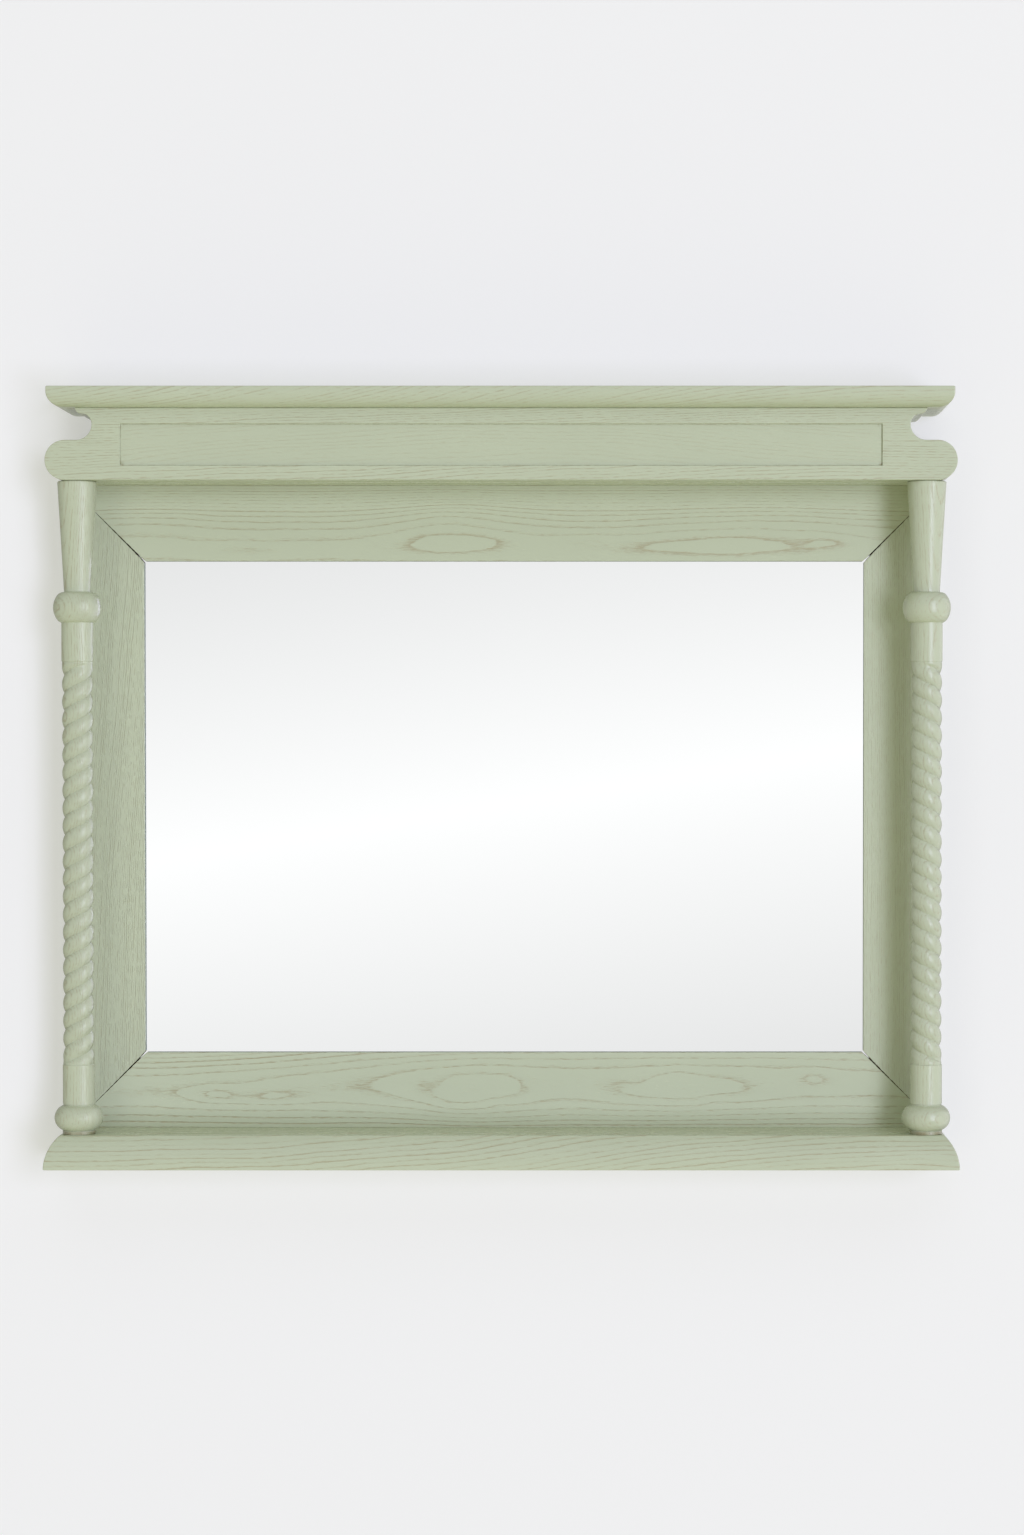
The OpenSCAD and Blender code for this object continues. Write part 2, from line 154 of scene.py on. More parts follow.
def make_piece(name, points, faces, finishes, nodes, face_finish=None):
    """Puts points and faces into a mesh object that stands for the named solids.

    Its faces are turned outwards, and it rides on the one body that there is."""
    mesh = bpy.data.meshes.new(name)
    mesh.from_pydata(np.asarray(points).tolist(), [], faces)
    work = bmesh.new()
    work.from_mesh(mesh)
    bmesh.ops.recalc_face_normals(work, faces=work.faces)
    work.to_mesh(mesh)
    work.free()
    for finish in finishes:
        mesh.materials.append(finish)
    if face_finish is not None:
        mesh.polygons.foreach_set("material_index", face_finish)
    mesh.shade_smooth()
    mesh.set_sharp_from_angle(angle=SHARP)
    piece = bpy.data.objects.new(name, mesh)
    bpy.context.scene.collection.objects.link(piece)
    flat = piece.modifiers.new("flat faces stay flat", "WEIGHTED_NORMAL")
    flat.keep_sharp = True
    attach(piece, "root")
    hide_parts(*nodes)
    print(name, len(mesh.vertices), "points,", len(mesh.polygons), "faces")
    return piece


def stacked(name, rings, finishes, nodes, side_finish=0, end_finish=0):
    """A closed piece from an array of rings: levels by points by XYZ.

    side_finish is the number of the finish on all sides, or one number for each point of a ring."""
    levels, count = rings.shape[:2]
    sides = ring_faces(levels, count).tolist()
    first = list(range(count))[::-1]
    last = list(range((levels - 1) * count, levels * count))
    faces = sides + [first, last]
    strips = np.broadcast_to(side_finish, (levels - 1, count)).ravel().tolist()
    face_finish = strips + [end_finish] * 2
    return make_piece(name, rings.reshape(-1, 3), faces, finishes, nodes, face_finish)


# %% [markdown]
# ## Wiring a finish
#
# A finish is a small graph of shader nodes. Sums and products read best as Python, so a Signal wraps
# one output socket and adds a Math node for each operator. Everything else, such as a noise or a
# mix of colours, comes from one method that takes the node's type, its settings and its inputs.

# %% A socket that does arithmetic


class Signal:
    """A number that varies over a surface, ready for Python's arithmetic."""

    def __init__(self, tree, output):
        self.tree = tree
        self.output = output

    def node(self, kind, settings, inputs, out=0):
        """Adds a shader node, sets its settings, then its inputs, and returns one output."""
        made = self.tree.nodes.new("ShaderNode" + kind)
        for name, value in settings.items():
            setattr(made, name, value)
        for place, value in inputs.items():
            if isinstance(value, Signal):
                self.tree.links.new(value.output, made.inputs[place])
            else:
                made.inputs[place].default_value = value
        return Signal(self.tree, made.outputs[out])

    def math(self, operation, *values):
        """A Math node on this signal and any further values."""
        return self.node("Math", {"operation": operation}, dict(enumerate((self, *values))))

    def __add__(self, other):
        return self.math("ADD", other)

    def __sub__(self, other):
        return self.math("SUBTRACT", other)

    def __rsub__(self, other):
        return self.node("Math", {"operation": "SUBTRACT"}, {0: other, 1: self})

    def __mul__(self, other):
        return self.math("MULTIPLY", other)

    def __truediv__(self, other):
        return self.math("DIVIDE", other)

    def __pow__(self, other):
        return self.math("POWER", other)

    def __abs__(self):
        return self.math("ABSOLUTE")

    __radd__ = __add__
    __rmul__ = __mul__

    def exp(self):
        """The number e to the power of this signal."""
        return self.math("EXPONENT")

    def ramp(self, start, stop):
        """0 before start, 1 after stop, and a smooth step between. start may exceed stop."""
        settings = {"interpolation_type": "SMOOTHSTEP"}
        low, high = min(start, stop), max(start, stop)
        step = self.node("MapRange", settings, {0: self, 1: low, 2: high})
        return step if start < stop else 1 - step

    def noise(self, scales, detail=2.0, roughness=0.5, shift=0.0):
        """Smooth noise of a position. scales gives the bumps per metre along X, Y and Z."""
        place = self.node("VectorMath", {"operation": "MULTIPLY_ADD"},
                          {0: self, 1: scales, 2: (shift, 2 * shift, 3 * shift)})
        return self.node("TexNoise", {}, {"Vector": place, "Scale": 1.0, "Detail": detail,
                                          "Roughness": roughness})

    def tint(self, under, over):
        """Mixes two colours, this signal being the share of the second."""
        return self.node("Mix", {"data_type": "RGBA"}, {0: self, 6: under, 7: over}, out=2)


# %% Colours, and the start and end of a finish


def srgb(red, green, blue):
    """A colour given on a 0 to 255 screen scale, as linear light with alpha 1.

    Each part is divided by 12.92 where it is very dark, and is ((part + 0.055) / 1.055) to the
    power 2.4 elsewhere."""
    part = np.array([red, green, blue]) / 255
    linear = np.where(part <= 0.04045, part / 12.92, ((part + 0.055) / 1.055) ** 2.4)
    return (*linear.tolist(), 1.0)


def start_finish(name):
    """A new material, its shader, and the position on the object in metres as a signal."""
    finish = bpy.data.materials.new(name)
    finish.use_nodes = True
    tree = finish.node_tree
    shader = tree.nodes["Principled BSDF"]
    place = tree.nodes.new("ShaderNodeTexCoord")
    return finish, shader, Signal(tree, place.outputs["Object"])


def feed(shader, **inputs):
    """Links signals to a shader's sockets and sets plain values on them.

    A socket is named in lower case: specular_ior_level is Specular IOR Level."""
    for name, value in inputs.items():
        socket = shader.inputs[name.replace("_", " ").title().replace("Ior", "IOR")]
        if isinstance(value, Signal):
            value.tree.links.new(value.output, socket)
        else:
            socket.default_value = value


def bumped(height):
    """A normal from a height in millimetres."""
    return height.node("Bump", {}, {"Strength": 1.0, "Distance": MM, "Height": height})


print("a grey of 128 on the screen is", round(srgb(128, 128, 128)[0], 3), "of full light")

# %% [markdown]
# ## Painted ash
#
# Ash is ring-porous: each spring it grows a band of large pores, which the painter's coat doesn't
# fill. A Wave texture could draw such bands, but they would be alike on every board. On real boards
# they are the contour lines of the tree's rings, so one formula gives all the figure: the distance
# from the tree's middle, with a few swellings where the trunk bulged. Cut along a curved ring it
# gives nested arches, and round a swelling it gives closed ovals. A narrow band after each ring's
# start, broken into dashes by noise stretched along the grain, makes the pores. They hold a browner,
# rougher and deeper spot of paint.

# %% Colours of paint and wood
SAGE = srgb(188, 196, 168)
PORE = srgb(155, 143, 108)
BARE_ASH = srgb(205, 180, 140)
BARE_PORE = srgb(150, 118, 80)
MITRE_WOOD = srgb(92, 68, 44)
# Brown for marks that are partly dirt and wear and partly painted shade.
BROWN_MARKS_AND_SHADE = srgb(118, 104, 60)
print("sage green as linear light:", [round(part, 3) for part in SAGE[:3]])

# %% The ash finish

# How far rings bend slowly and waver quickly, in millimetres; how fast the pores end after spring;
# the height of the ripple that a roller leaves in the paint; and the roughness and specular level of
# paint and of bare wood.
BEND, WAVER = 9.0, 1.6
FADE = 2.8
RIPPLE = 0.012
PAINT, BARE = (0.23, 0.6), (0.6, 0.5)


def ash(name, grain, pith, figure=(), ring=5.0, quicken=None, contrast=1.0, broken=1.3, relief=0.3,
        seed=0.0, wood=None, marks_and_shade=None):
    """Ash with its grain along one axis. Sizes are in millimetres.

    grain is the letters of the axes along, across and into the board. pith is the tree's middle,
    as its coordinate across and minus its coordinate into the board, and the radius is a point's
    distance from it. figure is a list of swellings (along, across, length, width, height), each of
    which adds its height * exp(-distance squared) to the radius, with the distance counted in its
    own lengths and widths. quicken, where given, is the radius at which rings are spaced by ring,
    and they get closer outwards: radius becomes radius squared / (2 * quicken). A point's season
    is the fraction of (radius + bend + waver) / ring. Its pores are strongest in spring, which is
    (1 - season) to the power FADE, with a short soft start, and weaker in some years.

    contrast is how clearly the pores show, broken how much their bands break up into dashes, and
    relief the depth of a full pore. wood is the colours of bare wood and its pores, or None for
    paint. The last argument, where given, turns the position's signals into a mask of brown marks,
    which are partly dirt and wear and partly painted shade."""
    finish, shader, place = start_finish(name)
    axis = {letter: place.node("SeparateXYZ", {}, {0: place}, out=i) * 1000
            for i, letter in enumerate("XYZ")}
    along, across, deep = (axis[letter] for letter in grain)

    def streaks(lengthwise, sideways, detail, shift=0.0):
        """Noise drawn out along the grain, by its bumps per metre lengthwise and sideways."""
        scale = {grain[0]: lengthwise, grain[1]: sideways, grain[2]: sideways}
        return place.noise(tuple(scale[letter] for letter in "XYZ"), detail, shift=seed + shift)

    # The rings: the distance from the pith, with swellings, bent and wavering along the grain.
    bend = (streaks(5.0, 24.0, 2.0) - 0.5) * BEND
    waver = (streaks(38.0, 170.0, 2.0, 3.0) - 0.5) * WAVER
    radius = ((across - pith[0]) ** 2 + (deep + pith[1]) ** 2) ** 0.5
    for x, z, length, width, height in figure:
        bulge = ((along - x) / length) ** 2 + ((across - z) / width) ** 2
        radius = radius + (bulge * -1).exp() * height
    if quicken is not None:
        radius = radius * radius / (2 * quicken)
    rings = (radius + bend + waver) / ring

    # The pores: strongest in spring, stronger in some years than in others, and broken into dashes.
    year = rings.math("FLOOR")
    season = rings - year
    vigour = year.node("TexWhiteNoise", {"noise_dimensions": "1D"}, {"W": year + seed})
    spring = ((1 - season) ** FADE) * season.ramp(0.0, 0.1) * (vigour * 0.45 + 0.55)
    dashes = streaks(95.0, 750.0, 3.0, 5.0) - 0.5
    pores = (spring * 0.65 + dashes * broken).ramp(0.10, 0.50)
    pores = (pores * (spring * 0.5 + 0.5) * contrast).math("MINIMUM", 1.0)

    # The coat: the two colours, slowly clouded, and a shine that is duller in the pores.
    cloud = place.noise((9.0, 9.0, 9.0), shift=seed + 1)
    base = pores.tint(*(wood or (SAGE, PORE)))
    shade = (cloud - 0.5) * 0.06 + (1 + 0.05 * contrast)
    colour = base.node("VectorMath", {"operation": "SCALE"}, {0: base, "Scale": shade})
    # Brown marks, where given: partly dirt and wear, partly painted shade.
    if marks_and_shade is not None:
        colour = marks_and_shade(place, axis).tint(colour, BROWN_MARKS_AND_SHADE)
    peel = place.noise((260.0, 260.0, 260.0), detail=1.0)
    roughness, specular = BARE if wood else PAINT
    feed(shader, base_color=colour, roughness=pores * 0.25 + cloud * 0.06 + roughness,
         normal=bumped(pores * -relief + peel * RIPPLE), specular_ior_level=specular)
    return finish


# %% [markdown]
# ## The shelf and the cornice
#
# Both are boards with one moulding that runs round the front and both ends, and a straight back
# against the wall. A curve with a bevel profile could sweep such a moulding round three sides, but
# not close it at the back. Seen from above, each level of the board is a rectangle drawn in at three
# sides, so a profile of pairs (how far out, how high) gives the whole piece as stacked plans. The
# shelf's edge is one big arc between two small ones, the cornice has a quarter round under its edge,
# and the plan's front corners are arcs too, because real corners are never knife sharp.

# %% A board with a moulding round three sides

# The radius of the plan's front corners.
CORNER = 1.6 * MM


def moulded_board(name, low, high, profile, finish, node):
    """A board from low to high whose plan is drawn in along a profile of (out, up) in metres.

    The plan at each level: back left, an arc at the front left, one at the front right, back
    right. out is 0 at the sides of the box and negative within them."""
    out = profile[:, 0][:, None]
    up = profile[:, 1][:, None]
    left = arc((0, 0), CORNER, 180, 270, 6)
    right = arc((0, 0), CORNER, 270, 360, 6)
    x = np.concatenate([low[0] - out, low[0] - out + CORNER + left[:, 0],
                        high[0] + out - CORNER + right[:, 0], high[0] + out], axis=1)
    front = low[1] - out + CORNER
    back = np.full_like(out, high[1])
    y = np.concatenate([back, front + left[:, 1], front + right[:, 1], back], axis=1)
    z = np.broadcast_to(low[2] + up, x.shape)
    return stacked(name, np.stack([x, y, z], axis=-1), [finish], [node])


# %% The shelf


def blend_angle(big, small, offset):
    """Where a small arc inside a big one meets it, in degrees above the level of the big centre.

    The line through both centres passes the meeting point, so its sine is the offset between the
    centres' levels divided by the difference of the radii."""
    return np.degrees(np.arcsin(offset / (big - small)))


# Radii of the edge's big arc and of the small ones at its top and foot.
SHELF_EDGE = 53 * MM
SHELF_ARRIS = 3 * MM
SHELF_FOOT = 1 * MM
shelf_t = shelf_high[2] - shelf_low[2]
upper = blend_angle(SHELF_EDGE, SHELF_ARRIS, shelf_t - SHELF_ARRIS)
lower = blend_angle(SHELF_EDGE, SHELF_FOOT, SHELF_FOOT)
arris_out = (SHELF_EDGE - SHELF_ARRIS) * np.cos(np.radians(upper)) - SHELF_EDGE
foot_out = (SHELF_EDGE - SHELF_FOOT) * np.cos(np.radians(lower)) - SHELF_EDGE
shelf_profile = np.concatenate([
    arc((foot_out, SHELF_FOOT), SHELF_FOOT, -90, lower, 6)[:-1],
    arc((-SHELF_EDGE, 0), SHELF_EDGE, lower, upper, 14)[:-1],
    arc((arris_out, shelf_t - SHELF_ARRIS), SHELF_ARRIS, upper, 90, 6)])
shelf_ash = ash("painted_ash_shelf", "XYZ", (-20, 30), [(480, -50, 520, 900, -50)], ring=3.6,
                contrast=0.85, broken=0.75, relief=0.03, seed=3.0)
shelf = moulded_board("painted_shelf", shelf_low, shelf_high, shelf_profile, shelf_ash, "shelf")

# %% The cornice

# Radii of the quarter round below and of the soft edge above.
OVOLO = 17 * MM
CORNICE_ARRIS = 1.5 * MM
cornice_t = cornice_high[2] - cornice_low[2]
cornice_profile = np.concatenate([
    arc((-OVOLO, OVOLO), OVOLO, -90, 0, 12),
    arc((-CORNICE_ARRIS, cornice_t - CORNICE_ARRIS), CORNICE_ARRIS, 0, 90, 5)])
cornice_ash = ash("painted_ash_cornice", "XYZ", (-30, -860), [(500, -60, 800, 900, -220)],
                  ring=4.0, contrast=0.6, seed=7.0)
moulded_board("painted_cornice", cornice_low, cornice_high, cornice_profile, cornice_ash, "cornice")

# %% [markdown]
# ## The frieze
#
# The front board of the frieze ends in a round lobe, a hollow of two arcs and a small ear under the
# cornice. A Boolean could saw that from a plank, but its edges would be as sharp as a knife. Here
# the outline is those arcs in turn, and the rounding is the same outline moved inwards a little
# towards the face, like the layers of an onion. The board has a long opening whose panel lies 3 mm
# behind its face. A face with a hole is cut into triangles by Blender's own tessellator. The ends
# behind the board carry the same outline back to the wall.

# %% The frieze's outline

# Radii of the lobe, of the hollow's lower and upper arc, of the ear and of the soft front edge, and
# how far the hollow's deepest point lies within the end of the shelf.
LOBE = 23.3 * MM
HOLLOW_LOW = 18.3 * MM
HOLLOW_TOP = 12.5 * MM
EAR = 7 * MM
FRIEZE_ARRIS = 0.9 * MM
HOLLOW_IN = 58 * MM
frieze_h = board_high[2] - board_low[2]
lobe_x = board_high[0] - LOBE
deepest_x = shelf_high[0] - HOLLOW_IN
hollow_z = 2 * LOBE + HOLLOW_LOW
ear_z = hollow_z + HOLLOW_TOP + EAR
ear_end = -np.degrees(np.arcsin((ear_z - frieze_h) / EAR))


def frieze_end(inner_x):
    """The right end's outline from its lower to its upper inner corner, as X and height.

    Half a circle for the lobe, two quarter circles for the hollow, and most of one for the ear."""
    return np.concatenate([
        [(inner_x, 0)],
        arc((lobe_x, LOBE), LOBE, -90, 90, 33),
        arc((deepest_x + HOLLOW_LOW, hollow_z), HOLLOW_LOW, 270, 180, 14),
        arc((deepest_x + HOLLOW_TOP, hollow_z), HOLLOW_TOP, 180, 90, 12)[1:],
        arc((deepest_x + HOLLOW_TOP, ear_z), EAR, -90, ear_end, 9)[1:],
        [(inner_x, frieze_h)]])


def standing(outline, y):
    """Puts a drawing of X and height into the vertical plane at y, above the frieze's foot."""
    return np.stack([outline[:, 0], np.full(len(outline), y), frieze_z + outline[:, 1]], axis=1)


right_half = frieze_end(0.0)[1:-1]
frieze_outline = np.concatenate([right_half, right_half[::-1] * (-1, 1)])
print("points in the frieze's outline:", len(frieze_outline))

# %% The front board with its opening

# How far the board covers the panel's edges.
PANEL_LAP = 5 * MM


def opening(lap):
    """The panel's opening as a closed anticlockwise outline, widened by lap."""
    x = panel_high[0] - PANEL_LAP + lap
    low = panel_low[2] - frieze_z + PANEL_LAP - lap
    high = panel_high[2] - frieze_z - PANEL_LAP + lap
    return np.array([(-x, low), (x, low), (x, high), (-x, high)])


def capped_by_triangles(outer, hole, start):
    """Triangles that fill a flat outline with a hole; start is the index of the first point."""
    flat = [[Vector((x, z, 0)) for x, z in ring] for ring in (outer, hole)]
    return [tuple(start[i] for i in triangle) for triangle in tessellate_polygon(flat)]


front_y, back_y, panel_y = board_low[1], board_high[1], panel_low[1]
outer_rings = [(inset(frieze_outline, cut), front_y + back) for cut, back in rounding(FRIEZE_ARRIS)]
outer_rings.append((frieze_outline, back_y))
hole_rings = [(inset(opening(0), -cut), front_y + back) for cut, back in rounding(FRIEZE_ARRIS)]
hole_rings += [(opening(0), panel_y), (opening(PANEL_LAP), panel_y), (opening(PANEL_LAP), back_y)]
points = np.concatenate([standing(*ring) for ring in outer_rings + hole_rings])
many, few = len(frieze_outline), 4
first_hole = many * len(outer_rings)
last_outer = first_hole - many
last_hole = first_hole + few * (len(hole_rings) - 1)
faces = ring_faces(len(outer_rings), many).tolist()
faces += (ring_faces(len(hole_rings), few) + first_hole).tolist()
faces += capped_by_triangles(outer_rings[0][0], hole_rings[0][0],
                             [*range(many), *range(first_hole, first_hole + few)])
faces += capped_by_triangles(frieze_outline, opening(PANEL_LAP),
                             [*range(last_outer, first_hole), *range(last_hole, last_hole + few)])
frieze_ash = ash("painted_ash_frieze", "XZY", (790, 25), [(520, 850, 700, 900, -40)], ring=2.9,
                 contrast=0.72, seed=11.0)
make_piece("painted_frieze_board", points, faces, [frieze_ash], ["frieze_board"])

# %% The two ends behind it
for side, node in ((1, "frieze_end_right"), (-1, "frieze_end_left")):
    low, high = span(node)
    inner = min(abs(low[0]), abs(high[0]))
    outline = frieze_end(inner) * (side, 1)
    rings = np.stack([standing(outline, low[1]), standing(outline, high[1])])
    stacked("painted_" + node, rings, [frieze_ash], [node])

# %% [markdown]
# ## The columns
#
# Each column is turned in one piece: a foot disc, a bun, a collar, the rope, a second collar, a bead
# and a taper that swells upwards. A half profile of radius and height says all of that, and a Screw
# modifier could turn it, but not carve the rope. So the turning is done with numpy, and the rope is
# the same surface with a radius that also depends on the angle: two strands meet in sharp valleys,
# which climb 41.6 mm in each turn and run out at both ends. The grid turns with the strands, so that
# the valleys follow its lines and stay crisp.

# %% The sizes of a column in millimetres

# Radii and heights from the foot upwards. A bead's side and its two turns are arcs of their own.
FOOT_R, FOOT_H, FOOT_ARRIS, FOOT_TOP_ARRIS = 19.0, 4.5, 0.5, 0.4
BUN_R, BUN_H, BUN_Z = 28.5, 31.4, 3.5
COLLAR_R, GROOVE = 18.7, 0.8
LOW_COLLAR_H, TOP_COLLAR_H = 47.2, 45.6
BEAD_R, BEAD_H, BEAD_SIDE_R, BEAD_TURN_R = 28.25, 36.2, 24.0, 9.0
TAPER_H, TAPER_LOW_R, TAPER_TOP_R, TAPER_ARRIS = 129.7, 15.4, 22.85, 2.0

# The rope: its two radii, the climb in one turn, the length of a run-out, and where the rings of its
# grid begin. AROUND is the points in a ring, and FRONT the share of a turn that faces the room.
RIDGE_R, VALLEY_R = 18.2, 15.1
LEAD = 41.6
RUN_OUT = 9.0
ROPE_START = 1.0
ROPE_RINGS = 300
AROUND = 96
FRONT = 0.75

column_h = frame_h / MM
rope_z = BUN_Z + BUN_H + LOW_COLLAR_H
taper_z = column_h - TAPER_H
bead_z = taper_z - BEAD_H
rope_top = bead_z - TOP_COLLAR_H
print("column in mm:", round(column_h, 1), "of which rope:", round(rope_top - rope_z, 1))

# %% The half profile of a column


def groove(z):
    """A small groove scored round a collar at a height, as a half circle cut into it."""
    return arc((COLLAR_R, z), GROOVE, 270, 90, 7)


def lower_profile():
    """Radius and height from the foot to the first ring of the rope.

    The bun is an arc about a centre at half its height, from the foot disc to the collar. The last
    two points of the groove beside the rope are left to the rope's first ring."""
    edge = BUN_H / 2
    centre = (BUN_R - edge, BUN_Z + edge)
    start = -np.degrees(np.arcsin((centre[1] - FOOT_H) / edge))
    stop = np.degrees(np.arccos((COLLAR_R - centre[0]) / edge))
    return np.concatenate([
        [(FOOT_R - FOOT_ARRIS, 0), (FOOT_R, FOOT_ARRIS), (FOOT_R, FOOT_H - FOOT_ARRIS),
         (FOOT_R - FOOT_TOP_ARRIS, FOOT_H)],
        arc(centre, edge, start, stop, 28), groove(BUN_Z + BUN_H), groove(rope_z)[:-2]])


def upper_profile():
    """Radius and height from the last ring of the rope to the top.

    The bead is a flat arc between two tighter ones, which meet it where both have one tangent. The
    first two points of the groove beside the rope are left to the rope's last ring."""
    side = (BEAD_R - BEAD_SIDE_R, bead_z + BEAD_H / 2)
    turn = np.degrees(np.arcsin((BEAD_H / 2 - BEAD_TURN_R) / (BEAD_SIDE_R - BEAD_TURN_R)))
    run = side[0] + (BEAD_SIDE_R - BEAD_TURN_R) * np.cos(np.radians(turn))
    start = np.degrees(np.arcsin((COLLAR_R - run) / BEAD_TURN_R)) - 90
    arris = (TAPER_TOP_R - TAPER_ARRIS, column_h - TAPER_ARRIS)
    return np.concatenate([
        groove(rope_top)[2:],
        arc((run, bead_z + BEAD_TURN_R), BEAD_TURN_R, start, -turn, 10)[:-1],
        arc(side, BEAD_SIDE_R, -turn, turn, 15)[:-1],
        arc((run, bead_z + BEAD_H - BEAD_TURN_R), BEAD_TURN_R, turn, 90, 10),
        [(TAPER_LOW_R, taper_z)], arc(arris, TAPER_ARRIS, 0, 90, 6)])


print("points below and above the rope:", len(lower_profile()), len(upper_profile()))

# %% Turning and carving


def column_rings(drop):
    """Rings of a left column whose axis stands on the origin.

    Radius = ridge - (ridge - valley) * u * u * carved, where u runs from -1 to 1 across each strand
    and carved rises smoothly from 0 at the rope's ends to 1 past its run-out. The angle of a ring's
    first point is that of a valley, which makes one turn in each lead and crosses the front at drop
    below the rope's top."""
    below, above = lower_profile(), upper_profile()
    heights = np.linspace(rope_z + ROPE_START, rope_top - ROPE_START, ROPE_RINGS)
    rope = np.stack([np.full_like(heights, RIDGE_R), heights], axis=1)
    radius, height = np.concatenate([below, rope, above]).T[:, :, None]
    inside = np.clip(np.minimum(height - rope_z, rope_top - height) / RUN_OUT, 0, 1)
    carved = inside ** 2 * (3 - 2 * inside)
    phase = np.arange(AROUND)[None, :] / AROUND
    u = 2 * (2 * phase % 1) - 1
    cut = (RIDGE_R - VALLEY_R) * u ** 2 * carved
    on_rope = np.clip(height, rope_z, rope_top)
    angle = 2 * np.pi * (FRONT + phase + (on_rope - rope_top + drop) / LEAD)
    return np.stack([(radius - cut) * np.cos(angle), (radius - cut) * np.sin(angle),
                     np.broadcast_to(height, cut.shape)], axis=-1) * MM


# %% The two columns

# How far below the rope's top a valley crosses the front, how far the worn paint reaches down at the
# top, and where the painted shade under the bun, mixed with worn brown paint, starts and is full at
# the foot.
LEFT_DROP, RIGHT_DROP = 27.0, 24.6
WORN_TOP = 1.6
SHADE_AND_WEAR_FROM, SHADE_AND_WEAR_FULL = 0.3, 1.7


def column_wear_and_shade(place, axis):
    """Brown marks, broken by noise. On the foot disc they are painted shade under the bun, mixed with
    worn brown paint; just under the frieze they are worn paint.

    The foot's share is a smooth step down from a little above the disc's upper edge to a little below
    it."""
    level = axis["Z"]
    disc_top = shelf_top / MM + FOOT_H
    # The foot: painted shade under the bun, mixed with worn brown paint.
    foot = level.ramp(disc_top + SHADE_AND_WEAR_FROM, disc_top - SHADE_AND_WEAR_FULL)
    top = level.ramp(frieze_z / MM - WORN_TOP, frieze_z / MM)
    patches = place.noise((60.0, 60.0, 60.0)).ramp(0.35, 0.6)
    return foot * (patches * 0.3 + 0.45) + top * (patches * 0.3 + 0.05)


left_ash = ash("painted_ash_left_column", "ZXY", (-375, -66), ring=2.3, contrast=0.7,
               seed=17.0, marks_and_shade=column_wear_and_shade)
right_ash = ash("painted_ash_right_column", "ZYX", (22, -456), ring=2.6, contrast=0.65,
                seed=23.0, marks_and_shade=column_wear_and_shade)
for side, drop, finish, node in ((1, LEFT_DROP, left_ash, "column_left"),
                                 (-1, RIGHT_DROP, right_ash, "column_right")):
    low, high = span(node)
    foot = np.array([(low[0] + high[0]) / 2, (low[1] + high[1]) / 2, shelf_top])
    rings = column_rings(drop) * (side, 1, 1) + foot
    stacked("turned_" + node, rings, [finish], [node])

# %% [markdown]
# ## The frame
#
# Four boards meet in mitres that have opened at their inner corners, because wood shrinks across its
# width. Boxes cut by a slanted plane would give closed, perfect mitres, and these are neither. So a
# board is its cross-section carried along its length: a face with two small roundings, and a rabbet
# for the glass behind the inner edge. Each ring is shifted along by how far its points lie from the
# outer edge, which cuts both ends at 45 degrees. A little more shift towards the inner edge opens
# the joint, and waves in it make the chipped edge of the paint. At the back the boards still touch,
# so the gap ends in the dark. The cut ends show old bare wood. The wall of the lip beside the glass
# is painted a matt dark grey that stands for the shade in the gap between lip and glass, and it draws
# the fine line round the mirror.

# %% The section of a frame board in millimetres

# Roundings at the outer and inner edge of the face, the rabbet's width and the lip's thickness.
OUTER_ROUND = 0.2
FACE_ROUND = 0.9
RABBET = 8.0
LIP = 6.0
FACE_POINTS = 61


def board_section():
    """The closed section of a frame board, as pairs (from the outer edge, behind the face)."""
    width = board_width / MM
    depth = (rail_high[1] - rail_low[1]) / MM
    face = np.linspace(OUTER_ROUND, width - FACE_ROUND, FACE_POINTS)[1:-1]
    return np.concatenate([
        arc((OUTER_ROUND, OUTER_ROUND), OUTER_ROUND, 180, 270, 4),
        np.stack([face, np.zeros_like(face)], axis=1),
        arc((width - FACE_ROUND, FACE_ROUND), FACE_ROUND, 270, 360, 4),
        [(width, LIP), (width - RABBET, LIP), (width - RABBET, depth), (0, depth)]])


print("points round a frame board:", len(board_section()))

# %% Finishes of the frame


def lip_painted_shade_finish():
    """Painted shade for the lip's wall: matt paint mixed of two dark greys by a noise that also
    roughens it.
    """
    finish, shader, place = start_finish("painted_shade_on_the_lip")
    uneven = place.noise((90.0, 90.0, 90.0), detail=3.0)
    feed(shader, base_color=uneven.tint(srgb(128, 140, 132), srgb(156, 166, 156)),
         roughness=uneven * 0.2 + 0.6, specular_ior_level=0.2)
    return finish


# Painted shade: a matt dark grey for the lip's wall, standing for the shadowed gap between lip and
# glass.
lip_painted_shade = lip_painted_shade_finish()
mitre_wood = ash("dark_ash_mitre", "XZY", (400, 100), seed=5.0, wood=(MITRE_WOOD, MITRE_WOOD))
top_figure = [(-60, 737, 62, 13, -13), (257, 731, 140, 15, -10), (-303, 729, 48, 9, -6),
              (95, 738, 30, 8, -4), (390, 737, 30, 8, -5), (-60, 765, 75, 26, -11),
              (290, 762, 150, 26, -6), (-420, 760, 90, 20, -4)]
low_figure = [(-38, 81, 66, 29, -15), (-78, 92, 13, 10, 3), (-2, 93, 17, 9, -3),
              (-62, 66, 20, 9, -3), (-8, 69, 15, 9, 3), (-348, 79, 28, 9, -8),
              (-279, 75, 52, 10, -7), (210, 85, 95, 24, -14), (160, 96, 16, 10, 4),
              (252, 74, 22, 9, 4), (208, 101, 20, 8, -4), (370, 97, 24, 12, -7),
              (-420, 132, 240, 60, 20)]
top_ash = ash("painted_ash_top_rail", "XZY", (728, -14), top_figure, ring=8.0, quicken=30,
              contrast=0.76, broken=0.9, seed=31.0)
